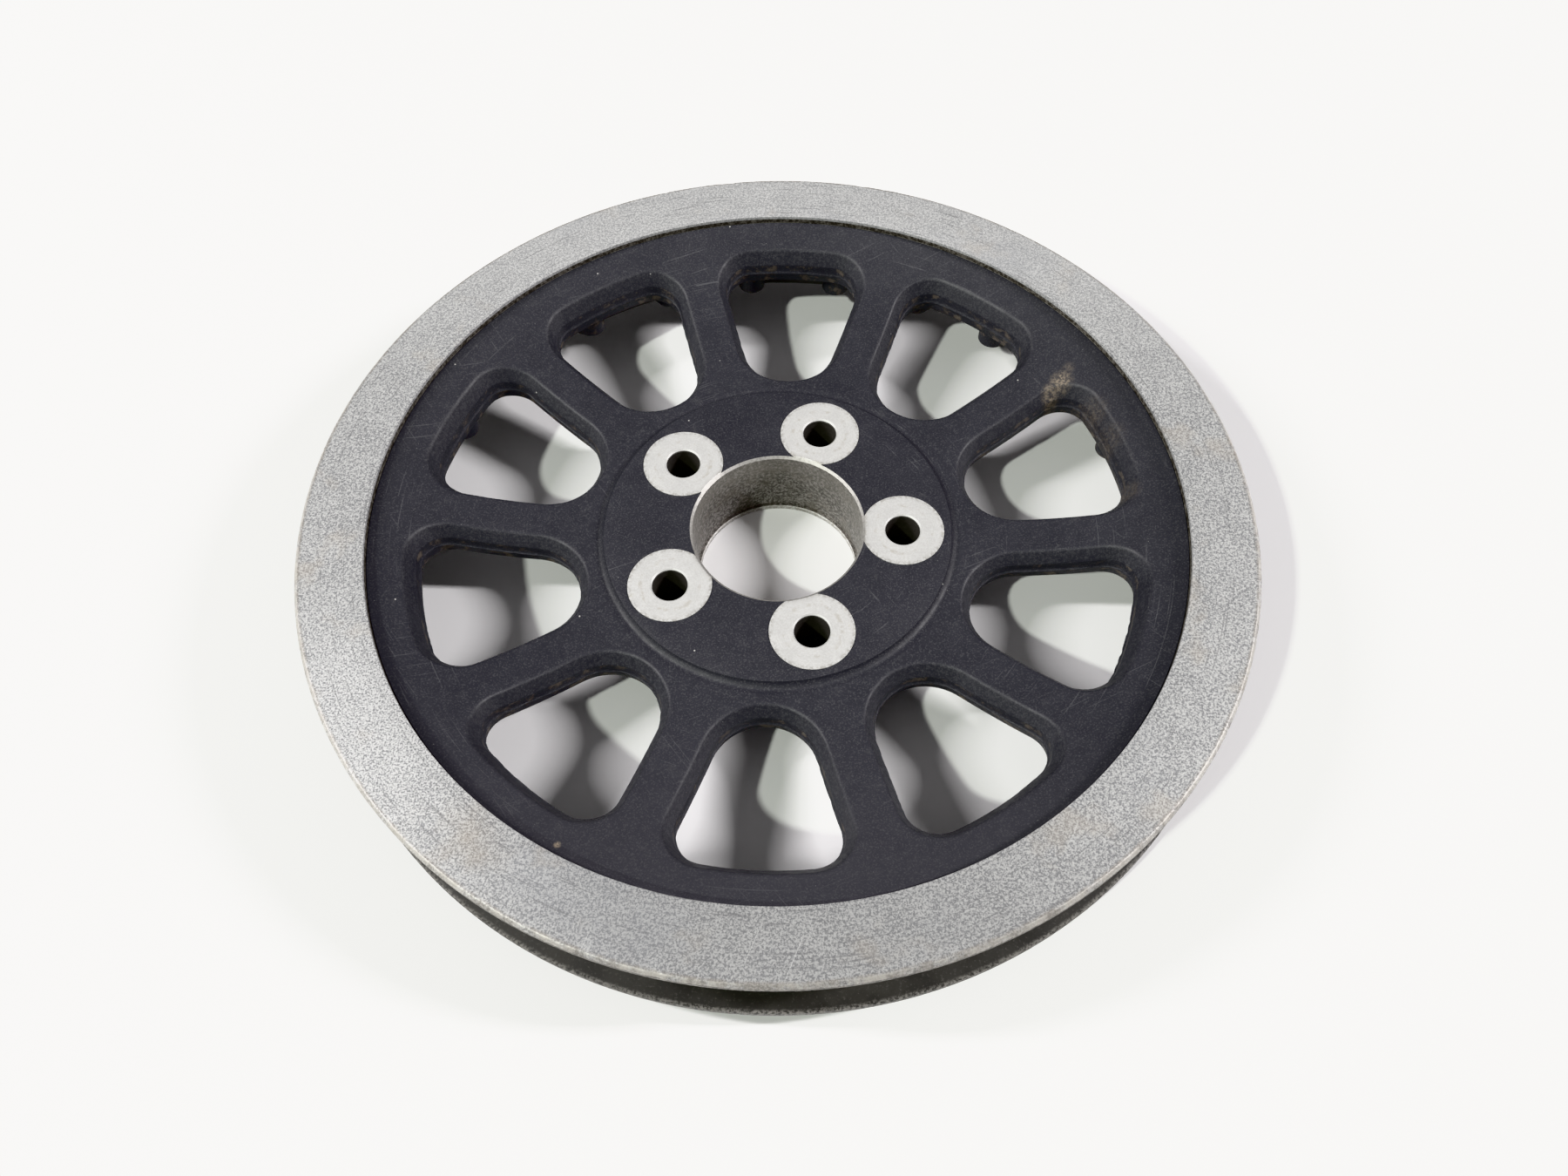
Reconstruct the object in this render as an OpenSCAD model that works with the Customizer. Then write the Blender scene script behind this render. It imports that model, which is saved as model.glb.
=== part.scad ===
// Rear drive-belt pulley of a motorcycle: a dished, ten-window casting with
// a toothed rim between two guide flanges.  Millimetres, +Z up.
// The origin is the centre of the bore on the rear hub face, which seats on
// the wheel hub.  +Z points to the outer face.  One bolt hole lies on +X.

/* [Belt rim] */
// Number of belt teeth on the rim
teeth = 66; // [64:1:66]
// Pitch of the belt teeth along the pitch circle
pitch = 14; // [13.8:0.1:14]
// Clear width between the two guide flanges
belt_gap = 27.5; // [26:0.5:30]
// Depth of one tooth groove below the tooth tips
groove_depth = 6; // [5:0.1:6.2]
// Radius of the round bottom of one tooth groove
groove_r = 4.5; // [4:0.1:4.8]

/* [Guide flanges] */
// Outside diameter of both guide flanges
flange_od = 303; // [300:1:310]
// Inside diameter of both guide flanges
flange_id = 260.8; // [259:0.2:262]
// Thickness of each guide flange
flange_t = 3; // [2.5:0.5:4]
// Width of the chamfer on the outer flange's front edge
flange_chamfer = 1; // [0.4:0.1:1.5]
// Number of screw bosses inside the rim
bosses = 24; // [12:12:24]
// Radius of one screw boss and of the flange lug over it
boss_r = 5; // [4.5:0.5:5.5]

/* [Hub] */
// Length of the hub, from the rear face to the outer face
hub_len = 29.1; // [28:0.1:31]
// Diameter of the central bore
bore_d = 56.4; // [54:0.1:58]
// Diameter of the short register lip at the rear of the bore
register_d = 54.4; // [53:0.1:54.9]
// Height of the register lip
register_h = 2; // [1:0.5:4]
// Diameter of the raised round plateau around the bolt holes
plateau_d = 114.4; // [112:0.2:116]
// Height of the plateau above the web beside it
plateau_step = 1.8; // [1:0.1:2.5]
// Diameter of the circle through the five wheel bolts
bolt_pcd = 82.55; // [82:0.05:83]
// Diameter of one wheel bolt hole
bolt_hole_d = 11.5; // [10.5:0.1:12]
// Diameter of the machined seat round each bolt hole
seat_d = 27.2; // [24:0.2:28]

/* [Web] */
// Height of the outer flange's front face above the rear hub face
overall_h = 44; // [43:0.5:48]
// Radius of the dished curve of the web, seen in section
dish_r = 168; // [166:1:175]
// Thickness of the web, measured along the axis
web_t = 11.2; // [10:0.1:12]
// Number of windows, with a spoke between each two
windows = 10; // [10:1:10]
// Radius of the windows' outer edge
window_out_r = 116.4; // [113:0.2:117]
// Radius of the windows' edge nearest the hub
window_in_r = 67.6; // [67:0.1:70]
// Half of the width of one spoke at its narrowest
spoke_half = 9.7; // [9.5:0.1:11]
// Radius of the windows' two outer corners
corner_r = 9.3; // [8:0.1:11]
// Width of the bevel round each window's front edge
bevel_w = 2.7; // [1.5:0.1:3]
// Depth of the bevel round each window's front edge
bevel_h = 4.2; // [2:0.1:4.5]

/* [Hidden] */
$fn = 96;
eps = 0.5;

// Belt rim
pitch_line = 1.4;
tip_r = pitch * teeth / (2 * PI) - pitch_line;
rim_rear_z = overall_h - 2 * flange_t - belt_gap;
rim_base_z = rim_rear_z + flange_t;
rim_top_z = overall_h - flange_t;
flange_r = flange_od / 2;
seat_r = flange_id / 2;
ring_edge = 0.3;
rear_edge = 0.6;

// Screw bosses
boss_ring_r = seat_r + 1.1;
boss_top_z = rim_base_z + 16;
boss_reach = 4.7;
boss_step_h = 1.7;
screw_len = 12;
screw_r = 2;
screw_head_r = 4;
screw_head_h = 2;
screw_fit = 0.05;
flange_hole_fit = 0.2;
sink_fit = 0.1;
socket_d = 3;
socket_depth = 1.4;

// Hub
hub_r = plateau_d / 2;
hub_draft = 1.2;
bore_chamfer = 0.8;
plateau_edge = 0.6;
step_run = 1.2;
flat_w = 5.3;
bolts = 5;
seat_proud = 0.3;

// Web: a dish, level beside the hub and rising along an arc to the rim
web_in_r = hub_r + flat_w;
web_in_z = hub_len - plateau_step;
dish_z = web_in_z + dish_r;
rim_wall_r = seat_r - 2.8;
edge_round = 0.5;
fillet_r = 3;
fillet_z = dish_z - sqrt(pow(dish_r + web_t + fillet_r, 2) - pow(rim_wall_r - fillet_r - web_in_r, 2));
trim = 1;
wall_slope = (seat_r - rim_wall_r) / (fillet_z - rim_base_z);

// Windows: rounded wedges centred half a spoke pitch from the bolt holes
half_angle = 180 / windows;
hub_end_y = (window_in_r - spoke_half) / (1 - sin(half_angle));
hub_end_r = hub_end_y - window_in_r;
corner_ring_r = window_out_r - corner_r;
corner_angle = half_angle - asin((spoke_half + corner_r) / corner_ring_r);
corner_steps = 8;
hub_end_steps = 16;
outer_steps = 8;
side_flare = 0.8;
rear_flare = 0.7;

// Height of the web's front surface at radius r
function web_z(r) = dish_z - sqrt(dish_r * dish_r - pow(max(0, r - web_in_r), 2));

// Points of an arc about c, from angle a to angle b
function arc(c, r, a, b, steps) =
    [for (i = [0 : steps]) c + r * [cos(a + (b - a) * i / steps), sin(a + (b - a) * i / steps)]];

// Outline of one window centred on +Y, moved outwards by g
function window_outline(g) = concat(
    arc(corner_ring_r * [sin(corner_angle), cos(corner_angle)], corner_r + g,
        -half_angle, 90 - corner_angle, corner_steps),
    arc([0, 0], window_out_r + g,
        90 - corner_angle * (1 - 2 / outer_steps), 90 + corner_angle * (1 - 2 / outer_steps),
        outer_steps - 2),
    arc(corner_ring_r * [-sin(corner_angle), cos(corner_angle)], corner_r + g,
        90 + corner_angle, 180 + half_angle, corner_steps),
    arc([0, hub_end_y], hub_end_r + g, 180 + half_angle, 360 - half_angle, hub_end_steps));

// One ring of a window's cutter: the outline moved out by g, d above the web
function window_ring(g, d) = [for (p = window_outline(g)) [p[0], p[1], web_z(norm(p)) + d]];

// Rings of the cutter from below the web to above it.  The walls narrow to
// a parting line at mid depth, and the front edge opens into the bevel.
parting_d = -bevel_h - 3.4;
rear_slope = rear_flare / (web_t + parting_d);
rear_over = 2;
front_over = 1.5;
cap_reach = 20;
bevel_slope = bevel_w / bevel_h;
window_rings = [
    window_ring(rear_flare + rear_slope * rear_over, -web_t - rear_over),
    window_ring(0, parting_d),
    window_ring(side_flare, -bevel_h),
    window_ring(side_flare + bevel_w + bevel_slope * front_over, front_over)];

// A closed solid through a stack of rings that have the same point count
module stack(rings) {
    n = len(rings[0]);
    last = len(rings) - 1;
    mid_y = (window_in_r + window_out_r) / 2;
    below = [0, mid_y, rings[0][0][2] - cap_reach];
    above = [0, mid_y, rings[last][0][2] + cap_reach];
    low_cap = n * len(rings);
    walls = [for (k = [0 : last - 1], i = [0 : n - 1]) let (
        a = k * n + i,
        b = k * n + (i + 1) % n)
        each [[a, a + n, b + n], [a, b + n, b]]];
    low = [for (i = [0 : n - 1]) [low_cap, i, (i + 1) % n]];
    high = [for (i = [0 : n - 1]) [low_cap + 1, last * n + (i + 1) % n, last * n + i]];
    polyhedron(points = concat([for (r = rings) each r], [below, above]),
               faces = concat(walls, low, high));
}

// Copies of the children at equal angles round the axis
module ring_of(count, start = 0) {
    for (i = [0 : count - 1])
        rotate([0, 0, start + i * 360 / count]) children();
}

// Half section of the web, between the hub and the rim
module web_section() {
    intersection() {
        translate([web_in_r, 0]) square([seat_r - edge_round - web_in_r, rim_top_z + 3]);
        difference() {
            translate([web_in_r, dish_z]) circle(r = dish_r + web_t, $fn = 180);
            translate([web_in_r, dish_z]) circle(r = dish_r, $fn = 180);
        }
    }
}

// Half section of the hub, with the level start of the web
module hub_section() {
    polygon(concat(
        [[register_d / 2, 0],
         [register_d / 2, register_h],
         [bore_d / 2, register_h],
         [bore_d / 2, hub_len],
         [hub_r - plateau_edge, hub_len],
         [hub_r, hub_len - plateau_edge],
         [hub_r + step_run, web_in_z],
         [web_in_r + eps, web_in_z],
         [web_in_r + eps, web_in_z - web_t]],
        arc([hub_r + fillet_r, web_in_z - web_t - fillet_r], fillet_r, 90, 180, 4),
        [[hub_r - hub_draft, 0]]));
}

// Half section of the rim, with the fillet behind the web's outer edge
module rim_section() {
    polygon([
        [rim_wall_r, web_z(rim_wall_r) - web_t / 2],
        [seat_r - edge_round, web_z(seat_r - edge_round)],
        [seat_r, web_z(seat_r) - edge_round],
        [seat_r, rim_top_z],
        [tip_r, rim_top_z],
        [tip_r, rim_base_z - trim],
        [seat_r + wall_slope * trim, rim_base_z - trim],
        [rim_wall_r, fillet_z]]);
    difference() {
        translate([rim_wall_r - fillet_r, fillet_z]) square([fillet_r + eps, fillet_r + 2]);
        translate([rim_wall_r - fillet_r, fillet_z]) circle(r = fillet_r, $fn = 48);
    }
}

// Everything that is taken out of the casting round its axis
module body_cuts() {
    ring_of(windows, half_angle - 90) stack(window_rings);
    ring_of(teeth)
        translate([tip_r - groove_depth + groove_r, 0, rim_base_z - 2 * trim])
            cylinder(r = groove_r, h = belt_gap + 3 * trim, $fn = 36);
    ring_of(bolts)
        translate([bolt_pcd / 2, 0, -eps])
            cylinder(d = bolt_hole_d, h = hub_len + 2);
    ring_of(bosses, 180 / bosses)
        translate([boss_ring_r, 0, rim_base_z - 2 * trim])
            cylinder(r = screw_r + screw_fit, h = screw_len - flange_t + 1 + 2 * trim, $fn = 24);
    translate([0, 0, hub_len - bore_chamfer - eps])
        cylinder(r1 = bore_d / 2 - eps, r2 = bore_d / 2 + bore_chamfer + eps,
                 h = bore_chamfer + 2 * eps);
    translate([0, 0, rim_base_z - 4 * trim]) rotate_extrude($fn = 180)
        translate([hub_r + fillet_r, 0]) square([flange_r - hub_r, 4 * trim]);
}

// The casting: hub, web with ten windows, toothed rim and screw bosses, which
// step inwards above their feet
module pulley_body() {
    color("#2b2b30")
    difference() {
        union() {
            rotate_extrude($fn = 180) {
                hub_section();
                web_section();
                rim_section();
            }
            ring_of(bolts)
                translate([bolt_pcd / 2, 0, hub_len - bore_chamfer / 2])
                    cylinder(d = seat_d, h = bore_chamfer / 2 + seat_proud);
            ring_of(bosses, 180 / bosses)
                translate([boss_ring_r, 0, rim_base_z - trim])
                    cylinder(r = boss_r, h = boss_top_z - rim_base_z + trim);
            ring_of(bosses, 180 / bosses)
                translate([boss_ring_r - boss_reach, 0, rim_base_z + boss_step_h])
                    cylinder(r = boss_r, h = boss_top_z - rim_base_z - boss_step_h, $fn = 48);
        }
        body_cuts();
    }
}

// Bare front flange, shrunk onto the web's outer edge
module outer_flange() {
    color("#a9abad")
    rotate_extrude($fn = 180)
        polygon([
            [seat_r, rim_top_z],
            [flange_r - ring_edge, rim_top_z],
            [flange_r, rim_top_z + ring_edge],
            [flange_r, overall_h - flange_chamfer],
            [flange_r - flange_chamfer, overall_h],
            [seat_r + ring_edge, overall_h],
            [seat_r, overall_h - ring_edge]]);
}

// Coated rear flange with one lug over each boss, held by countersunk screws
module rear_flange() {
    color("#24211f")
    difference() {
        rotate_extrude($fn = 180)
            polygon([
                [boss_ring_r - 2 * boss_r, rim_rear_z],
                [flange_r - rear_edge, rim_rear_z],
                [flange_r, rim_rear_z + rear_edge],
                [flange_r, rim_base_z - rear_edge],
                [flange_r - rear_edge, rim_base_z],
                [boss_ring_r - 2 * boss_r, rim_base_z]]);
        difference() {
            translate([0, 0, rim_rear_z - eps]) cylinder(r = seat_r, h = flange_t + 2 * eps);
            ring_of(bosses, 180 / bosses)
                translate([boss_ring_r, 0, rim_rear_z - 2 * eps])
                    cylinder(r = boss_r, h = flange_t + 4 * eps);
        }
        ring_of(bosses, 180 / bosses)
            translate([boss_ring_r, 0, rim_rear_z - eps])
                cylinder(r = screw_r + flange_hole_fit, h = flange_t + 2 * eps, $fn = 24);
        ring_of(bosses, 180 / bosses)
            translate([boss_ring_r, 0, rim_rear_z - eps])
                cylinder(r1 = screw_head_r + sink_fit + eps, r2 = screw_r + sink_fit,
                         h = screw_head_h + eps, $fn = 36);
    }
}

// One countersunk socket screw, head down at z = 0
module flange_screw() {
    difference() {
        union() {
            cylinder(r1 = screw_head_r, r2 = screw_r, h = screw_head_h, $fn = 36);
            cylinder(r = screw_r, h = screw_len, $fn = 24);
        }
        translate([0, 0, -eps])
            cylinder(d = socket_d, h = socket_depth + eps, $fn = 6);
    }
}

// The screws that hold the rear flange to the bosses
module flange_screws() {
    color("#6d6e70")
    ring_of(bosses, 180 / bosses)
        translate([boss_ring_r, 0, rim_rear_z]) flange_screw();
}

pulley_body();
outer_flange();
rear_flange();
flange_screws();
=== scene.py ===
"""Looks of the rear drive-belt pulley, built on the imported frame."""

import math

import bmesh
import bpy
from mathutils import Matrix, Vector
from mathutils.geometry import delaunay_2d_cdt
from mathutils.noise import noise


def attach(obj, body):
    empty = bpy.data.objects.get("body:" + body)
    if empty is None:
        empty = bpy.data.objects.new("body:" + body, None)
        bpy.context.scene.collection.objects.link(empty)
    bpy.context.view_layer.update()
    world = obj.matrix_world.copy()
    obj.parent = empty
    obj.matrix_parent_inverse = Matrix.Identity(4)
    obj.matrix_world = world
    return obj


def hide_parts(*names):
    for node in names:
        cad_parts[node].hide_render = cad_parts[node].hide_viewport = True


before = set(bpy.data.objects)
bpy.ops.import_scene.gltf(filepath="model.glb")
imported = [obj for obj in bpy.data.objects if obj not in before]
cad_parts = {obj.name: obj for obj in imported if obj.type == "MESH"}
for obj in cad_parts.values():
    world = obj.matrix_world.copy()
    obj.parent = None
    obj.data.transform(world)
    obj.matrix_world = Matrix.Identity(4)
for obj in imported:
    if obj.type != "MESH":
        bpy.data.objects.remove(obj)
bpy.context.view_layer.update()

MM = 0.001
TAU = 2 * math.pi

# Sizes shared by the pieces, in millimetres. They are the CAD's, except for
# the bosses' inner ends, which follow the photo, and the turned bolt holes.
TOP_Z = 44.0
RIM_TOP_Z = 41.0
RIM_BASE_Z = 13.5
REAR_Z = 10.5
FLANGE_R = 151.5
SEAT_R = 130.4
WALL_R = 127.6
TEETH = 66
TIP_R = TEETH * 14 / TAU - 1.4
GROOVE_R = 4.5
GROOVE_DEPTH = 6.0
GROOVE_RING_R = TIP_R - GROOVE_DEPTH + GROOVE_R
GROOVE_LIP_DEG = 9
BOSSES = 24
BOSS_R = 5.0
BOSS_RING_R = SEAT_R + 1.1
BOSS_REACH = 5.2
BOSS_STEP_H = 0.3
BOSS_STEP_EDGE = 0.5
SCREW_R = 2.05
SCREW_HOLE_DEPTH = 10.0
DRILL_POINT = 0.8
SINK_R = 4.1
SINK_DEPTH = 1.9
SCREW_PASS_R = 2.2
HUB_TOP_Z = 29.1
HUB_R = 57.2
BORE_R = 28.2
LIP_R = 27.2
LIP_Z = 2.0
CHAMFER = 0.8
SEAT_TOP_Z = 29.4
SEAT_PAD_R = 13.6
SEAT_EDGE = 0.06
BOLTS = 5
BOLT_STEP = 360 // BOLTS
BOLT_RING_R = 41.275
BOLT_R = 5.75
THREADS = 13
THREAD_PITCH = 1.8
THREAD_DEPTH = 0.16
THREAD_TOP = 2.5
WEB_IN_R = 62.5
WEB_IN_Z = 27.3
WEB_T = 11.2
DISH_R = 168.0
DISH_Z = WEB_IN_Z + DISH_R
FILLET_R = 3.0
FILLET_Z = DISH_Z - math.sqrt(
    (DISH_R + WEB_T + FILLET_R) ** 2 - (WALL_R - FILLET_R - WEB_IN_R) ** 2
)
WINDOWS = 10
WIN_OUT_R = 116.4
WIN_IN_R = 67.6
SPOKE_HALF = 9.7
CORNER_R = 9.3
BEVEL_W = 2.7
BEVEL_H = 4.2
BEVEL_ROUND_R = 1.5
FLARE = 0.8
PARTING_TOP = 2.7
PARTING_END = 4.0
PARTING_ROUGH = 0.35
RIM_EDGE = 0.8
RIM_ROUND = 0.5
SEAM = 0.02

# How finely the loops are cut
RIM_N = 720
FINE_N = 2 * RIM_N
HUB_N = 360
ARC_OUT = 72
ARC_IN = 36
SIDE = 44
WEB_STEPS = 9
GROOVE_STEPS = 18
SEAT_STEPS = 72
SEAT_MOUTH_STEPS = 14
SEAT_GAP_STEPS = 36
HOLE_N = 24
SINK_N = 36


# ---------------------------------------------------------------- mesh tools


class Skin:
    """Points and faces of one piece, in millimetres."""

    def __init__(self):
        self.points = []
        self.faces = []
        self.slots = []

    def loop(self, points):
        start = len(self.points)
        self.points.extend(points)
        return list(range(start, len(self.points)))

    def face(self, corners, slot):
        self.faces.append(tuple(corners))
        self.slots.append(slot)

    def strip(self, a, b, slot, closed=True):
        """Four-sided faces between two loops with the same count."""
        n = len(a)
        for i in range(n if closed else n - 1):
            j = (i + 1) % n
            self.face((a[i], a[j], b[j], b[i]), slot)

    def strips(self, loops, slot, closed=True):
        for a, b in zip(loops, loops[1:]):
            self.strip(a, b, slot, closed)

    def zipper(self, coarse, fine, slot):
        """Faces between a loop and one with twice as many points."""
        n = len(coarse)
        for i in range(n):
            j = (i + 1) % n
            p, q, r = fine[2 * i], fine[2 * i + 1], fine[(2 * i + 2) % (2 * n)]
            self.face((coarse[i], coarse[j], q), slot)
            self.face((coarse[i], q, p), slot)
            self.face((coarse[j], r, q), slot)

    def plate(self, loops, slot):
        """Fills the level region inside the first loop and outside the others,
        which all run anticlockwise."""
        flat, edges, back = [], [], []
        for loop in loops:
            base, n = len(flat), len(loop)
            for i, k in enumerate(loop):
                flat.append(Vector(self.points[k][:2]))
                back.append(k)
                edges.append((base + i, base + (i + 1) % n))
        _, _, cells, origins, _, _ = delaunay_2d_cdt(flat, edges, [], 1, 1e-5)
        cells = [[origins[i][0] for i in cell] for cell in cells]
        beside = {
            pair: at for at, cell in enumerate(cells) for pair in zip(cell, cell[1:] + cell[:1])
        }
        borders = set(edges) | {(b, a) for a, b in edges}
        hole_edges = edges[len(loops[0]):]
        todo = [beside[pair] for pair in hole_edges if pair in beside]
        empty = set(todo)
        while todo:
            cell = cells[todo.pop()]
            for a, b in zip(cell, cell[1:] + cell[:1]):
                other = beside.get((b, a))
                if (a, b) not in borders and other is not None and other not in empty:
                    empty.add(other)
                    todo.append(other)
        for at, cell in enumerate(cells):
            if at not in empty:
                self.face([back[i] for i in cell], slot)

    def fan(self, loop, centre, slot):
        middle = self.loop([centre])[0]
        for i in range(len(loop)):
            self.face((loop[i], loop[(i + 1) % len(loop)], middle), slot)

    def finish(self, name, materials, sharp=32.0):
        """Welds the points and makes the Blender object."""
        mesh = bpy.data.meshes.new(name)
        work = bmesh.new()
        verts = [work.verts.new((x * MM, y * MM, z * MM)) for x, y, z in self.points]
        for corners, slot in zip(self.faces, self.slots):
            if len(set(corners)) < 3:
                continue
            try:
                work.faces.new([verts[i] for i in corners]).material_index = slot
            except ValueError:
                pass  # the face is there already
        bmesh.ops.remove_doubles(work, verts=work.verts, dist=2e-6)
        bmesh.ops.dissolve_degenerate(work, edges=work.edges, dist=1e-7)
        loose = [v for v in work.verts if not v.link_faces]
        bmesh.ops.delete(work, geom=loose, context="VERTS")
        bmesh.ops.recalc_face_normals(work, faces=work.faces)
        open_edges = sum(1 for e in work.edges if len(e.link_faces) != 2)
        volume = work.calc_volume(signed=True) * 1e9
        if volume < 0:
            bmesh.ops.reverse_faces(work, faces=work.faces)
        print(f"{name}: {len(work.faces)} faces, open edges {open_edges}, {abs(volume):.0f} mm3")
        work.to_mesh(mesh)
        work.free()
        mesh.shade_smooth()
        mesh.set_sharp_from_angle(angle=math.radians(sharp))
        for material in materials:
            mesh.materials.append(material)
        obj = bpy.data.objects.new(name, mesh)
        bpy.context.scene.collection.objects.link(obj)
        return obj


def circle(r, z, n, centre=(0.0, 0.0)):
    cx, cy = centre
    return [
        (cx + r * math.cos(TAU * i / n), cy + r * math.sin(TAU * i / n), z)
        for i in range(n)
    ]


def polar(r, degrees):
    """Plan position at a radius and an angle."""
    a = math.radians(degrees)
    return r * math.cos(a), r * math.sin(a)


def web_z(r):
    """Height of the web's front surface at radius r."""
    return DISH_Z - math.sqrt(DISH_R**2 - max(0.0, r - WEB_IN_R) ** 2)


def rear_z(r):
    """Height of the web's rear surface at radius r."""
    return DISH_Z - math.sqrt((DISH_R + WEB_T) ** 2 - max(0.0, r - WEB_IN_R) ** 2)


def blend(a, b, n):
    """Even steps from a to b, with both ends."""
    return [a + (b - a) * i / n for i in range(n + 1)]


# ------------------------------------------------------------- window outline


def window_path():
    """Points and outward directions of the outline of one window centred on
    +Y, in step with the border of its sector."""
    half = math.radians(180 / WINDOWS)
    hub_y = (WIN_IN_R - SPOKE_HALF) / (1 - math.sin(half))
    hub_r = hub_y - WIN_IN_R
    ring = WIN_OUT_R - CORNER_R
    turn = half - math.asin((SPOKE_HALF + CORNER_R) / ring)
    right = (ring * math.sin(turn), ring * math.cos(turn))
    left = (-right[0], right[1])
    hub = (0.0, hub_y)
    quarter = math.pi / 2
    mid = (quarter - turn - half) / 2
    low = math.radians(52)

    def arc(c, r, a, b):
        return ("arc", c, r, a, b)

    def at(c, r, a):
        return (c[0] + r * math.cos(a), c[1] + r * math.sin(a))

    def line(a, b, angle):
        return ("line", a, b, (math.cos(angle), math.sin(angle)))

    end_left = math.pi + half
    groups = [
        ([arc(right, CORNER_R, mid, quarter - turn),
          arc((0.0, 0.0), WIN_OUT_R, quarter - turn, quarter + turn),
          arc(left, CORNER_R, quarter + turn, math.pi - mid)], ARC_OUT),
        ([arc(left, CORNER_R, math.pi - mid, end_left),
          line(at(left, CORNER_R, end_left), at(hub, hub_r, end_left), end_left),
          arc(hub, hub_r, end_left, 3 * quarter - low)], SIDE),
        ([arc(hub, hub_r, 3 * quarter - low, 3 * quarter + low)], ARC_IN),
        ([arc(hub, hub_r, 3 * quarter + low, TAU - half),
          line(at(hub, hub_r, -half), at(right, CORNER_R, -half), -half),
          arc(right, CORNER_R, -half, mid)], SIDE),
    ]

    def length(p):
        if p[0] == "arc":
            return p[2] * abs(p[4] - p[3])
        return math.dist(p[1], p[2])

    def spot(p, share):
        if p[0] == "arc":
            a = p[3] + (p[4] - p[3]) * share
            return at(p[1], p[2], a), (math.cos(a), math.sin(a))
        x = p[1][0] + (p[2][0] - p[1][0]) * share
        y = p[1][1] + (p[2][1] - p[1][1]) * share
        return (x, y), p[3]

    path = []
    for parts, count in groups:
        lengths = [length(p) for p in parts]
        total = sum(lengths)
        for i in range(count):
            s = total * i / count
            k = 0
            while k < len(parts) - 1 and s > lengths[k]:
                s -= lengths[k]
                k += 1
            path.append(spot(parts[k], s / lengths[k]))
    return path


def sector_border(r_in, r_out):
    """Border of one window's sector, centred on +Y, in step with window_path."""
    half = 180 / WINDOWS
    border = [polar(r_out, 90 - half + 2 * half * i / ARC_OUT) for i in range(ARC_OUT)]
    border += [polar(r_out + (r_in - r_out) * i / SIDE, 90 + half) for i in range(SIDE)]
    border += [polar(r_in, 90 + half - 2 * half * i / ARC_IN) for i in range(ARC_IN)]
    border += [polar(r_in + (r_out - r_in) * i / SIDE, 90 - half) for i in range(SIDE)]
    return border


def window_profile():
    """The window's edge from the front surface to the parting line and on to
    the rear: distance outside the outline, height below the web surface, and
    which surface the height is taken from."""
    slope = math.atan2(BEVEL_H, BEVEL_W)
    tangent = BEVEL_ROUND_R * math.tan(slope / 2)
    start = FLARE + BEVEL_W + tangent
    front = []
    for i in range(6):
        a = slope * i / 5
        front.append((start - BEVEL_ROUND_R * math.sin(a), -BEVEL_ROUND_R * (1 - math.cos(a))))
    front += [
        (FLARE + 1.4, -BEVEL_H + 1.4 * BEVEL_H / BEVEL_W),
        (FLARE + 0.10, -BEVEL_H + 0.16),
        (FLARE + 0.01, -BEVEL_H - 0.02),
        (FLARE - 0.04, -BEVEL_H - 0.25),
        (FLARE - 0.14, -BEVEL_H - 1.4),
        (FLARE - 0.26, -BEVEL_H - 2.5),
        (FLARE - 0.50, -BEVEL_H - 2.95),
        (0.04, -BEVEL_H - 3.2),
        (0.0, -BEVEL_H - 3.4),
        (0.04, -BEVEL_H - 3.6),
        (FLARE - 0.50, -BEVEL_H - 3.85),
        (FLARE - 0.30, -BEVEL_H - 4.3),
        (FLARE - 0.20, -BEVEL_H - 5.2),
    ]
    rear = [(FLARE - 0.08, 0.5), (FLARE + 0.02, 0.18), (FLARE + 0.2, 0.04), (FLARE + 0.5, 0.0)]
    return [(g, d, "front") for g, d in front] + [(g, d, "rear") for g, d in rear]


# -------------------------------------------------------------- the casting


def boss_centres():
    step = 360 / BOSSES
    return [polar(BOSS_RING_R, step / 2 + step * k) for k in range(BOSSES)]


def boss_inner(degrees, ring_r):
    """Radius at which a ray at this angle first meets a boss, or a big number."""
    step = 360 / BOSSES
    off = (degrees - step / 2) % step
    off = math.radians(min(off, step - off))
    side = ring_r * math.sin(off)
    if abs(side) >= BOSS_R:
        return 1e9
    return ring_r * math.cos(off) - math.sqrt(BOSS_R**2 - side**2)


def wall_loop(r, z, reach=0.0):
    """The rim's inner wall at one height, with the bosses standing out, and
    so much further in above their step."""
    points = []
    for i in range(FINE_N):
        degrees = i * 360 / FINE_N
        inner = min(boss_inner(degrees, BOSS_RING_R), boss_inner(degrees, BOSS_RING_R - reach))
        points.append((*polar(min(r, inner), degrees), z))
    return points


# Tip of a tooth: share of the way across, and how far below the tip radius
TOOTH_TIP = (
    (0.035, 0.22), (0.10, 0.05), (0.2, 0.0), (0.5, 0.0), (0.8, 0.0), (0.90, 0.05), (0.965, 0.22),
)


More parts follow.
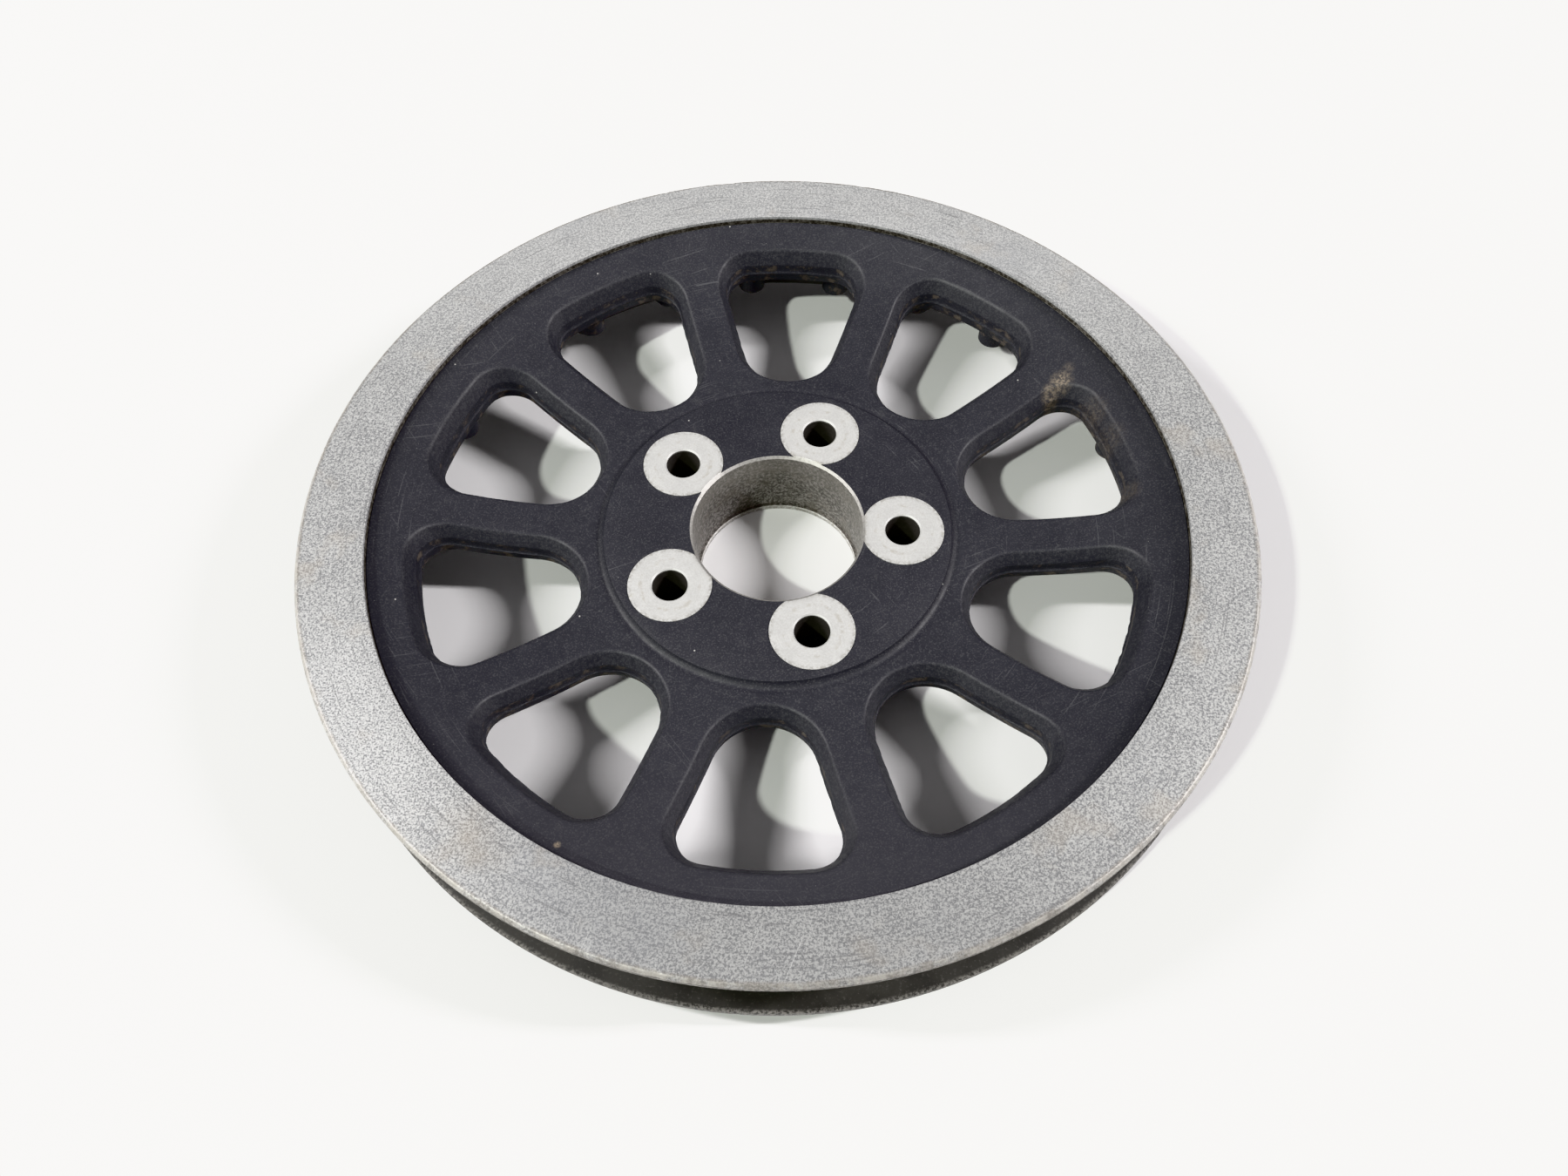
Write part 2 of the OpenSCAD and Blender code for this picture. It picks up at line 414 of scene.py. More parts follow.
def tooth_loop(z):
    """Outline of the toothed rim at one height."""
    cos_half = (TIP_R**2 + GROOVE_RING_R**2 - GROOVE_R**2) / (2 * TIP_R * GROOVE_RING_R)
    half = math.acos(cos_half)
    corner = math.atan2(TIP_R * math.sin(half), TIP_R * math.cos(half) - GROOVE_RING_R)
    step = TAU / TEETH
    points = []
    for k in range(TEETH):
        mid = k * step
        cx, cy = GROOVE_RING_R * math.cos(mid), GROOVE_RING_R * math.sin(mid)
        reach = corner + math.radians(GROOVE_LIP_DEG)
        for i in range(GROOVE_STEPS + 1):
            a = mid - reach - (TAU - 2 * reach) * i / GROOVE_STEPS
            points.append((cx + GROOVE_R * math.cos(a), cy + GROOVE_R * math.sin(a), z))
        for share, drop in TOOTH_TIP:
            a = mid + half + (step - 2 * half) * share
            points.append(((TIP_R - drop) * math.cos(a), (TIP_R - drop) * math.sin(a), z))
    return points


def turned(points, degrees):
    c, s = math.cos(math.radians(degrees)), math.sin(math.radians(degrees))
    return [(c * x - s * y, s * x + c * y, z) for x, y, z in points]


def seat_arc(r, half, z, turn):
    """Edge of a bolt seat outside the bore, which it meets at radius r."""
    x, y = polar(r, half)
    reach = math.degrees(math.atan2(y, x - BOLT_RING_R))
    arc = []
    for a in blend(-reach, reach, SEAT_STEPS):
        dx, dy = polar(SEAT_PAD_R, a)
        arc.append((BOLT_RING_R + dx, dy, z))
    return turned(arc, turn)


def build_casting(materials):
    coat, seat, bore, teeth, rear = range(5)
    skin = Skin()
    bolts = [polar(BOLT_RING_R, BOLT_STEP * k) for k in range(BOLTS)]
    screws = boss_centres()

    # Web and windows, one sector at a time
    path = window_path()
    profile = window_profile()
    edge_r = SEAT_R - RIM_EDGE
    for k in range(WINDOWS):
        angle = 360 / WINDOWS * (k + 0.5) - 90
        rings = []
        for g, d, side in profile:
            ring = []
            for i, ((x, y), (nx, ny)) in enumerate(path):
                px, py = x + g * nx, y + g * ny
                r = math.hypot(px, py)
                z = (web_z(r) if side == "front" else rear_z(r)) + d
                if side == "front" and PARTING_TOP < -BEVEL_H - d < PARTING_END:
                    rough = noise(Vector((x * 0.45, y * 0.45, k * 7.3 + d * 0.3)))
                    px += nx * max(0.0, rough) * PARTING_ROUGH
                    py += ny * max(0.0, rough) * PARTING_ROUGH
                ring.append((px, py, z))
            rings.append(ring)
        for border, ring, surface in (
            (sector_border(WEB_IN_R, edge_r), rings[0], web_z),
            (sector_border(WEB_IN_R, WALL_R - FILLET_R - 0.6), rings[-1], rear_z),
        ):
            between = []
            for j in range(WEB_STEPS):
                t = j / WEB_STEPS
                row = []
                for (bx, by), (wx, wy, _) in zip(border, ring):
                    x, y = bx + (wx - bx) * t, by + (wy - by) * t
                    row.append((x, y, surface(math.hypot(x, y))))
                between.append(skin.loop(turned(row, angle)))
            between.append(skin.loop(turned(ring, angle)))
            skin.strips(between, coat)
        skin.strips([skin.loop(turned(ring, angle)) for ring in rings], coat)

    # Outer edge of the web, down inside the outer flange
    seat_rows = [(edge_r, web_z(edge_r))]
    for i in range(1, 5):
        a = math.pi / 2 * i / 4
        z0 = web_z(edge_r + 0.3)
        seat_rows.append((SEAT_R - RIM_ROUND + RIM_ROUND * math.sin(a),
                          z0 - RIM_ROUND + RIM_ROUND * math.cos(a)))
    seat_rows.append((SEAT_R, RIM_TOP_Z))
    loops = [skin.loop(circle(r, z, RIM_N)) for r, z in seat_rows]
    skin.strips(loops, coat)

    # Toothed rim
    top, base = skin.loop(tooth_loop(RIM_TOP_Z)), skin.loop(tooth_loop(RIM_BASE_Z))
    middle = [skin.loop(tooth_loop(z)) for z in blend(RIM_TOP_Z, RIM_BASE_Z, 4)[1:-1]]
    skin.strips([top, *middle, base], teeth)
    skin.plate([top, loops[-1]], coat)

    # Inside of the rim, with the fillet behind the web and the bosses
    start_r = WALL_R - FILLET_R
    coarse = skin.loop(circle(start_r - 0.6, rear_z(start_r - 0.6), RIM_N))
    rows = [(start_r - 0.1, rear_z(start_r - 0.1))]
    lean = math.atan2(WALL_R - FILLET_R - WEB_IN_R, DISH_Z - FILLET_Z)
    for i in range(9):
        a = math.pi / 2 + lean - (math.pi / 2 + lean) * i / 8
        rows.append((start_r + FILLET_R * math.cos(a), FILLET_Z + FILLET_R * math.sin(a)))
    for i in range(1, 9):
        t = i / 8
        rows.append((WALL_R + (SEAT_R - WALL_R) * t, FILLET_Z + (RIM_BASE_Z - FILLET_Z) * t))
    step_z = RIM_BASE_Z + BOSS_STEP_H
    step_r = WALL_R + (SEAT_R - WALL_R) * (FILLET_Z - step_z) / (FILLET_Z - RIM_BASE_Z)
    high = [(r, z) for r, z in rows if z > step_z]
    low = [(r, z) for r, z in rows if z < step_z]
    wall = [skin.loop(wall_loop(r, z, BOSS_REACH)) for r, z in high]
    wall.append(skin.loop(wall_loop(step_r, step_z + BOSS_STEP_EDGE, BOSS_REACH)))
    wall.append(skin.loop(wall_loop(step_r, step_z, BOSS_REACH - BOSS_STEP_EDGE)))
    wall += [skin.loop(wall_loop(r, z)) for r, z in [(step_r, step_z), *low]]
    skin.zipper(coarse, wall[0], coat)
    skin.strips(wall, coat)

    # Rear face of the rim with the blind screw holes
    holes = [skin.loop(circle(SCREW_R, RIM_BASE_Z, HOLE_N, c)) for c in screws]
    skin.plate([base, wall[-1], *holes], coat)
    end_z = RIM_BASE_Z + SCREW_HOLE_DEPTH
    for hole, centre in zip(holes, screws):
        end = skin.loop(circle(SCREW_R, end_z, HOLE_N, centre))
        skin.strip(hole, end, rear)
        skin.fan(end, (*centre, end_z + DRILL_POINT), rear)

    # Step from the web up to the hub's plateau
    step = [
        (WEB_IN_R, WEB_IN_Z),
        (HUB_R + 4.0, WEB_IN_Z),
        (HUB_R + 3.4, WEB_IN_Z - 0.03),
        (HUB_R + 3.0, WEB_IN_Z - 0.12),
        (HUB_R + 2.5, WEB_IN_Z - 0.2),
        (HUB_R + 2.0, WEB_IN_Z - 0.12),
        (HUB_R + 1.5, WEB_IN_Z + 0.1),
        (HUB_R + 0.8, WEB_IN_Z + 0.75),
        (HUB_R + 0.3, HUB_TOP_Z - 0.50),
        (HUB_R + 0.18, HUB_TOP_Z - 0.2),
        (HUB_R + 0.05, HUB_TOP_Z - 0.06),
        (HUB_R - 0.2, HUB_TOP_Z),
    ]
    loops = [skin.loop(circle(r, z, HUB_N)) for r, z in step]
    skin.strips(loops, coat)
    plateau = loops[-1]

    # Bore: its samples stop where the bolt seats cross the chamfer
    def crossing(r):
        return math.degrees(
            math.acos((r * r + BOLT_RING_R**2 - SEAT_PAD_R**2) / (2 * r * BOLT_RING_R))
        )

    low_r = BORE_R + CHAMFER
    high_r = low_r + SEAT_TOP_Z - HUB_TOP_Z
    low_half, high_half = crossing(low_r), crossing(high_r)
    angles = []
    for k in range(BOLTS):
        turn, after = BOLT_STEP * k, BOLT_STEP * (k + 1)
        angles += blend(turn - low_half, turn + low_half, SEAT_MOUTH_STEPS)[:-1]
        angles += blend(turn + low_half, after - low_half, SEAT_GAP_STEPS)[:-1]

    def bore_loop(r, z):
        return skin.loop([(*polar(r, a), z) for a in angles])

    mouth = bore_loop(low_r, HUB_TOP_Z)
    wall_top = bore_loop(BORE_R, HUB_TOP_Z - CHAMFER)
    skin.strip(mouth, wall_top, bore)
    rows = [bore_loop(BORE_R, z) for z in (20.0, 12.0, LIP_Z)]
    skin.strips([wall_top, *rows], bore)
    lip_rows = ((LIP_R + 0.25, LIP_Z), (LIP_R, LIP_Z - 0.25), (LIP_R, 0.3), (LIP_R + 0.3, 0.0))
    lip = [bore_loop(r, z) for r, z in lip_rows]
    skin.strip(rows[-1], lip[0], bore)
    skin.strips(lip, seat)

    # Bolt seats, clipped by the bore's chamfer, and the bolt holes
    inner = []
    bolt_feet = []
    edge_z = SEAT_TOP_Z - SEAT_EDGE
    for k, centre in enumerate(bolts):
        turn, after = BOLT_STEP * k, BOLT_STEP * (k + 1)
        foot = skin.loop(seat_arc(low_r, low_half, HUB_TOP_Z, turn))
        rim = skin.loop(seat_arc(high_r, high_half, edge_z, turn))
        skin.strip(foot, rim, seat, closed=False)
        under, over = [
            skin.loop([(*polar(r, turn + a), z) for a in blend(-half, half, SEAT_MOUTH_STEPS)])
            for r, half, z in ((low_r, low_half, HUB_TOP_Z), (high_r, high_half, edge_z))
        ]
        skin.strip(under, over, seat, closed=False)
        border = rim + over[1:-1][::-1]
        edge = [skin.points[i] for i in border]
        rays = [math.atan2(y - centre[1], x - centre[0]) for x, y, _ in edge]

        def ring(r, z):
            return [(centre[0] + r * math.cos(a), centre[1] + r * math.sin(a), z) for a in rays]

        mouth = ring(BOLT_R + 0.45, edge_z)
        rows = []
        for t in (0.12, 0.35, 0.6, 0.85):
            row = [[p + (q - p) * t for p, q in zip(a, b)] for a, b in zip(edge, mouth)]
            rows.append(skin.loop([(x, y, SEAT_TOP_Z) for x, y, _ in row]))
        skin.strips([border, *rows, skin.loop(mouth)], seat)
        neck = skin.loop(ring(BOLT_R, SEAT_TOP_Z - 0.5))
        skin.strip(skin.loop(mouth), neck, seat)
        thread = [neck]
        for i in range(THREADS):
            z = SEAT_TOP_Z - THREAD_TOP - i * THREAD_PITCH
            thread.append(skin.loop(ring(BOLT_R, z)))
            thread.append(skin.loop(ring(BOLT_R - THREAD_DEPTH, z - 0.45 * THREAD_PITCH)))
        thread.append(skin.loop(ring(BOLT_R, 0.4)))
        skin.strips(thread, bore)
        bolt_feet.append(skin.loop(ring(BOLT_R + 0.4, 0.0)))
        skin.strip(thread[-1], bolt_feet[-1], seat)
        inner += foot
        gap = blend(turn + low_half, after - low_half, SEAT_GAP_STEPS)[1:-1]
        inner += skin.loop([(*polar(low_r, a), HUB_TOP_Z) for a in gap])
    skin.plate([plateau, inner], coat)

    # Rear of the hub
    side = [(WEB_IN_R, rear_z(WEB_IN_R))]
    for i in range(7):
        a = math.pi / 2 * i / 6
        side.append((HUB_R + FILLET_R - FILLET_R * math.sin(a),
                     rear_z(WEB_IN_R) - FILLET_R + FILLET_R * math.cos(a)))
    side += [(HUB_R - 0.6, 6.0), (HUB_R - 1.15, 0.5), (HUB_R - 1.35, 0.15), (HUB_R - 1.7, 0.0)]
    loops = [skin.loop(circle(r, z, HUB_N)) for r, z in side]
    skin.strips(loops, coat)
    skin.plate([loops[-1], lip[-1], *bolt_feet], rear)
    return skin.finish("casting", materials)


def build_outer_ring(materials):
    """The bare front flange: a flat ring with a worn chamfer."""
    skin = Skin()
    rows = [
        (SEAT_R + SEAM, RIM_TOP_Z),
        (FLANGE_R - 0.3, RIM_TOP_Z),
        (FLANGE_R - 0.05, RIM_TOP_Z + 0.1),
        (FLANGE_R, RIM_TOP_Z + 0.35),
        (FLANGE_R, TOP_Z - 1.15),
        (FLANGE_R - 0.06, TOP_Z - 0.92),
        (FLANGE_R - 0.92, TOP_Z - 0.08),
        (FLANGE_R - 1.15, TOP_Z - 0.01),
        (FLANGE_R - 1.6, TOP_Z),
        (FLANGE_R - 7.0, TOP_Z),
        (FLANGE_R - 14.0, TOP_Z),
        (SEAT_R + 0.45, TOP_Z),
        (SEAT_R + 0.12, TOP_Z - 0.06),
        (SEAT_R + SEAM, TOP_Z - 0.3),
    ]
    nicked = range(4, 8)
    loops = []
    for k, (r, z) in enumerate(rows):
        row = []
        for i in range(FINE_N):
            a = i * 360 / FINE_N
            nick = 0.0
            if k in nicked:
                wave = noise(Vector((*polar(38.0, a), 3.1 + z * 0.2)))
                nick = max(0.0, wave - 0.42) * 0.5
            row.append((*polar(r - nick, a), z - nick * 0.6))
        loops.append(skin.loop(row))
    skin.strips(loops + [loops[0]], 0)
    return skin.finish("outer_ring", materials)


def build_rear_ring(materials):
    """The dark rear flange: a ring with a lug over each screw boss."""
    skin = Skin()
    screws = boss_centres()
    front_z = RIM_BASE_Z - SEAM
    outer = [
        (FLANGE_R - 0.7, REAR_Z),
        (FLANGE_R - 0.2, REAR_Z + 0.15),
        (FLANGE_R - 0.02, REAR_Z + 0.6),
        (FLANGE_R - 0.02, RIM_BASE_Z - 0.6),
        (FLANGE_R - 0.2, RIM_BASE_Z - 0.15),
        (FLANGE_R - 0.7, front_z),
    ]
    loops = [skin.loop(circle(r, z, RIM_N)) for r, z in outer]
    skin.strips(loops, 0)
    low, high = [skin.loop(wall_loop(SEAT_R, z)) for z in (REAR_Z, front_z)]
    skin.strip(low, high, 0)
    sinks, throats = [], []
    for c in screws:
        sink = skin.loop(circle(SINK_R, REAR_Z, SINK_N, c))
        neck = skin.loop(circle(SCREW_PASS_R, REAR_Z + SINK_DEPTH, SINK_N, c))
        throat = skin.loop(circle(SCREW_PASS_R, front_z, SINK_N, c))
        skin.strips([sink, neck, throat], 0)
        sinks.append(sink)
        throats.append(throat)
    skin.plate([loops[0], low, *sinks], 0)
    skin.plate([loops[-1], high, *throats], 0)
    return skin.finish("rear_ring", materials)


# ---------------------------------------------------------------- materials


class Graph:
    """A material's nodes, with short ways to make and join them."""

    def __init__(self, name):
        self.material = bpy.data.materials.new(name)
        self.material.use_nodes = True
        self.tree = self.material.node_tree
        self.tree.nodes.clear()
        self.out = self.add("ShaderNodeOutputMaterial")
        self.shader = self.add("ShaderNodeBsdfPrincipled")
        self.tree.links.new(self.shader.outputs[0], self.out.inputs[0])
        self.coord = self.add("ShaderNodeTexCoord").outputs["Object"]
        split = self.add("ShaderNodeSeparateXYZ")
        self.put(split.inputs[0], self.coord)
        self.x, self.y, self.z = split.outputs

    def add(self, kind, **props):
        node = self.tree.nodes.new(kind)
        for key, value in props.items():
            setattr(node, key, value)
        return node

    def put(self, socket, value):
        if isinstance(value, bpy.types.NodeSocket):
            self.tree.links.new(value, socket)
        else:
            socket.default_value = value

    def vector(self, operation, a, b):
        node = self.add("ShaderNodeVectorMath", operation=operation)
        self.put(node.inputs[0], a)
        self.put(node.inputs[1], b)
        return node.outputs[0]

    def math(self, operation, a, b=0.0):
        node = self.add("ShaderNodeMath", operation=operation)
        self.put(node.inputs[0], a)
        self.put(node.inputs[1], b)
        return node.outputs[0]

    def times(self, *values):
        total = values[0]
        for value in values[1:]:
            total = self.math("MULTIPLY", total, value)
        return total

    def span(self, value, lo, hi, to_lo=0.0, to_hi=1.0):
        """value taken from lo..hi to to_lo..to_hi, eased and held at the ends."""
        node = self.add("ShaderNodeMapRange", interpolation_type="SMOOTHSTEP")
        self.put(node.inputs["Value"], value)
        node.inputs["From Min"].default_value = lo
        node.inputs["From Max"].default_value = hi
        node.inputs["To Min"].default_value = to_lo
        node.inputs["To Max"].default_value = to_hi
        return node.outputs["Result"]

    def band(self, value, lo, hi, soft):
        """One between lo and hi, and none outside, with soft ends."""
        rise = self.span(value, lo - soft, lo + soft)
        return self.times(rise, self.span(value, hi + soft, hi - soft))

    def mix(self, share, a, b):
        """Colour a, with so large a share of colour b."""
        node = self.add("ShaderNodeMix", data_type="RGBA")
        self.put(node.inputs[0], share)
        for socket, value in ((node.inputs[6], a), (node.inputs[7], b)):
            if isinstance(value, tuple):
                value = (*value, 1.0)
            self.put(socket, value)
        return node.outputs[2]

    def noise(self, size, detail=2.0, rough=0.5, offset=(0.0, 0.0, 0.0), coord=None):
        """Noise whose largest cells are size metres wide."""
        node = self.add("ShaderNodeTexNoise")
        self.put(node.inputs["Vector"], self.vector("ADD", coord or self.coord, offset))
        node.inputs["Scale"].default_value = 1.0 / size
        node.inputs["Detail"].default_value = detail
        node.inputs["Roughness"].default_value = rough
        return node.outputs["Fac"]

    def specks(self, spacing, size, share, offset=(0.0, 0.0, 0.0)):
        """Round specks of so many metres, in a share of the cells."""
        node = self.add("ShaderNodeTexVoronoi")
        self.put(node.inputs["Vector"], self.vector("ADD", self.coord, offset))
        node.inputs["Scale"].default_value = 1.0 / spacing
        near = self.span(node.outputs["Distance"], 0.5 * size / spacing, 0.2 * size / spacing)
        split = self.add("ShaderNodeSeparateColor")
        self.put(split.inputs[0], node.outputs["Color"])
        return self.times(near, self.span(split.outputs[0], share, share - 0.02))

    def radius(self, centre=(0.0, 0.0)):
        """Distance from an upright axis, in metres."""
        dx = self.math("SUBTRACT", self.x, centre[0])
        dy = self.math("SUBTRACT", self.y, centre[1])
        return self.math("SQRT", self.math("ADD", self.times(dx, dx), self.times(dy, dy)))

    def round_about(self, length, width):
        """Coordinates for marks that run round the axis: so long, so wide."""
        arc = self.times(self.math("ARCTAN2", self.y, self.x), 0.1 / length)
        node = self.add("ShaderNodeCombineXYZ")
        self.put(node.inputs[0], arc)
        self.put(node.inputs[1], self.times(self.radius(), 1.0 / width))
        self.put(node.inputs[2], self.times(self.z, 1.0 / length))
        return node.outputs[0]

    def along(self, degrees, length, width):
        """Coordinates for straight marks in one direction of the plan."""
        node = self.add("ShaderNodeMapping", vector_type="TEXTURE")
        self.put(node.inputs["Vector"], self.coord)
        node.inputs["Rotation"].default_value = (0.0, 0.0, math.radians(degrees))
        node.inputs["Scale"].default_value = (length, width, length)
        return node.outputs[0]

    def marks(self, coord, amount, offset):
        """Thin marks where stretched noise is high."""
        return self.span(self.noise(1.0, 0.0, 0.5, offset, coord), amount, amount + 0.04)

    def facing_up(self):
        """How much the surface faces up, from 0 to 1."""
        split = self.add("ShaderNodeSeparateXYZ")
        self.put(split.inputs[0], self.add("ShaderNodeNewGeometry").outputs["Normal"])
        return self.math("MAXIMUM", split.outputs[2], 0.0)

    def bump(self, height, strength, distance, normal=None):
        node = self.add("ShaderNodeBump")
        node.inputs["Strength"].default_value = strength
        node.inputs["Distance"].default_value = distance
        self.put(node.inputs["Height"], height)
        if normal is not None:
            self.put(node.inputs["Normal"], normal)
        return node.outputs["Normal"]

    def finish(self, color, rough, normal=None, metallic=0.0, specular=0.5):
        self.put(self.shader.inputs["Base Color"], color)
        self.put(self.shader.inputs["Roughness"], rough)
        self.shader.inputs["Metallic"].default_value = metallic
        self.shader.inputs["Specular IOR Level"].default_value = specular
        if normal is not None:
            self.put(self.shader.inputs["Normal"], normal)
        return self.material


def ring_material():
    """Bare oxidised aluminium: two greys in a fine mottle, a bright worn
    chamfer and a browner edge, with painted shade on the near side and a
    painted highlight on the near left and far side."""
    g = Graph("oxidised_aluminium")
    grain = g.noise(0.0005, 2, 0.65)
    mottle = g.noise(0.0009, 3, 0.75, (3.1, 1.7, 0.2))
    blotch = g.noise(0.009, 3, 0.6, (7.0, 2.0, 0.0))
    broad = g.noise(0.05, 3, 0.55, (1.0, 5.0, 0.0))
    tone = g.math("ADD", g.times(mottle, 0.55), g.times(grain, 0.45))
    tone = g.math("ADD", tone, g.span(blotch, 0.3, 0.7, -0.012, 0.012))
    color = g.mix(g.span(tone, 0.42, 0.58), (0.205, 0.207, 0.214), (0.53, 0.53, 0.525))
    color = g.mix(g.span(grain, 0.60, 0.72, 0.0, 0.5), color, (0.64, 0.64, 0.63))
    color = g.mix(g.span(broad, 0.52, 0.72, 0.0, 0.22), color, (0.30, 0.31, 0.34))
    warm = g.noise(0.022, 3, 0.6, (4.0, 9.0, 0.0))
    color = g.mix(g.span(warm, 0.56, 0.70, 0.0, 0.28), color, (0.42, 0.37, 0.31))
    stain = g.times(g.span(g.radius((-0.083, -0.121)), 0.022, 0.004), g.span(warm, 0.38, 0.6))
    color = g.mix(g.times(stain, 0.3), color, (0.30, 0.25, 0.19))
    # Painted shade: the near side of the flange is darkened.
    painted_near_shade = g.times(g.span(g.y, -0.085, -0.140), g.span(g.x, -0.100, -0.030), 0.30)
    color = g.mix(painted_near_shade, color, (0.10, 0.10, 0.10))
    # Painted highlight: a pale speckled patch on the near left and a lighter far side.
    painted_highlight = g.span(g.radius((-0.115, -0.085)), 0.055, 0.015)
    painted_highlight = g.times(painted_highlight, g.span(grain, 0.45, 0.55), 0.45)
    painted_highlight = g.math("MAXIMUM", painted_highlight, g.span(g.y, 0.03, 0.12, 0.0, 0.18))
    color = g.mix(painted_highlight, color, (0.72, 0.72, 0.72))
    marks = g.marks(g.round_about(0.012, 0.0005), 0.72, (2.0, 0.0, 5.0))
    color = g.mix(g.times(marks, 0.5), color, (0.15, 0.15, 0.155))
    scrape = g.marks(g.along(70, 0.02, 0.0004), 0.77, (0.0, 3.0, 1.0))
    color = g.mix(g.times(scrape, 0.4), color, (0.66, 0.66, 0.65))
    r = g.radius()
    rim, top = FLANGE_R * MM, TOP_Z * MM
    rub = g.span(g.noise(0.006, 3, 0.6, (6.0, 1.0, 0.0)), 0.36, 0.6)
    brown = g.span(g.noise(0.004, 3, 0.6, (2.0, 2.0, 2.0)), 0.35, 0.6, 0.15, 0.5)
    brown = g.times(g.span(r, rim - 0.0021, rim - 0.0013), brown)
    color = g.mix(brown, color, (0.20, 0.175, 0.145))
    chamfer = g.span(r, rim - 0.0013, rim - 0.00095)
    chamfer = g.times(chamfer, g.span(g.z, top - 0.00115, top - 0.0009))
    color = g.mix(g.times(chamfer, g.times(rub, 0.55)), color, (0.46, 0.44, 0.405))
    side = g.span(g.z, top - 0.0010, top - 0.0012)
    crust = g.span(g.noise(0.0012, 4, 0.7, (0.0, 8.0, 1.0)), 0.42, 0.62)
    edge = g.mix(crust, (0.06, 0.055, 0.048), (0.20, 0.188, 0.17))
    color = g.mix(side, color, edge)
    lower = g.times(side, g.span(g.z, top - 0.0025, top - 0.0028), g.span(rub, 0.2, 0.6))
    color = g.mix(g.times(lower, 0.6), color, (0.42, 0.40, 0.37))
    normal = g.bump(mottle, 0.35, 0.00010)
    normal = g.bump(grain, 0.30, 0.00005, normal)
    return g.finish(color, g.span(tone, 0.4, 0.6, 0.58, 0.44), normal, metallic=0.4)


# Dry dirt on the coat: place, reach and strength, in metres
SMEARS = (
    (0.0965, 0.0610, 0.0050, 0.9),
    (0.0930, 0.0575, 0.0040, 0.7),
    (0.0990, 0.0655, 0.0030, 0.25),
    (0.1055, 0.0480, 0.0075, 0.22),
    (0.1095, 0.0370, 0.0080, 0.18),
    (0.1140, 0.0150, 0.0060, 0.25),
    (-0.0545, -0.1150, 0.0014, 0.9),
)


def coat_material():
    """Black satin coat with a fine grain, dust, light scuffs and some dirt, with painted sheen
    on the sloped bevels and towards the near side.
    """
    g = Graph("black_satin_coat")
    grain = g.noise(0.0005, 2, 0.6)
    patch = g.noise(0.004, 4, 0.65, (5.0, 0.0, 2.0))
    cloud = g.noise(0.03, 3, 0.6, (2.0, 4.0, 0.0))
    color = g.mix(g.span(cloud, 0.35, 0.7), (0.0265, 0.0265, 0.0325), (0.0310, 0.0310, 0.0375))
    color = g.mix(g.span(grain, 0.50, 0.68, 0.0, 0.6), color, (0.070, 0.070, 0.075))
    color = g.mix(g.span(patch, 0.60, 0.74, 0.0, 0.30), color, (0.058, 0.058, 0.061))
    # Painted sheen: the sloped faces round the windows are lightened in a fine speckle.
    up = g.facing_up()
    sloped = g.times(g.span(up, 0.90, 0.72), g.span(up, 0.15, 0.40))
    sloped = g.times(sloped, g.span(g.radius(), 0.062, 0.064))
    painted_bevel_sheen = g.times(sloped, g.span(g.noise(0.0011, 3, 0.7, (1.0, 1.0, 7.0)), 0.42, 0.66))
    color = g.mix(g.times(painted_bevel_sheen, 0.28), color, (0.085, 0.086, 0.091))
    scuffs = g.marks(g.round_about(0.024, 0.0004), 0.755, (7.0, 0.0, 0.0))
    for degrees, length, offset in ((25, 0.022, (0.0, 0.0, 0.0)), (-50, 0.016, (3.0, 5.0, 0.0))):
        straight = g.marks(g.along(degrees, length, 0.00035), 0.765, offset)
        scuffs = g.math("MAXIMUM", scuffs, straight)
    scuffs = g.times(scuffs, g.span(cloud, 0.46, 0.62), g.span(up, 0.6, 0.9))
    color = g.mix(g.times(scuffs, 0.25), color, (0.17, 0.17, 0.175))
    # Painted sheen: the coat is lighter towards the near side.
    color = g.mix(g.span(g.y, -0.055, -0.125, 0.0, 0.35), color, (0.068, 0.067, 0.074))
    dust = g.specks(0.009, 0.0007, 0.45)
    color = g.mix(g.times(dust, 0.85), color, (0.45, 0.44, 0.42))
    lint = g.specks(0.003, 0.00035, 0.45, (2.0, 3.0, 0.0))
    color = g.mix(g.times(lint, 0.5), color, (0.28, 0.28, 0.27))
    crumbs = g.noise(0.0012, 4, 0.75, (9.0, 2.0, 4.0))
    near = 0.0
    for x, y, reach, share in SMEARS:
        spot = g.span(g.radius((x, y)), reach, 0.2 * reach)
        near = g.math("MAXIMUM", near, g.times(spot, share))
    dirt = g.times(near, g.span(crumbs, 0.42, 0.60, 0.15, 1.0))
    walls = g.times(g.span(up, 0.35, 0.05), g.span(patch, 0.50, 0.66), 0.35)
    color = g.mix(g.math("MAXIMUM", dirt, walls), color, (0.23, 0.19, 0.145))
    rough = g.math("ADD", g.span(patch, 0.3, 0.7, 0.50, 0.62), g.times(dirt, 0.3))
    normal = g.bump(grain, 0.45, 0.00005)
    normal = g.bump(patch, 0.12, 0.00010, normal)
    return g.finish(color, rough, normal, specular=0.4)


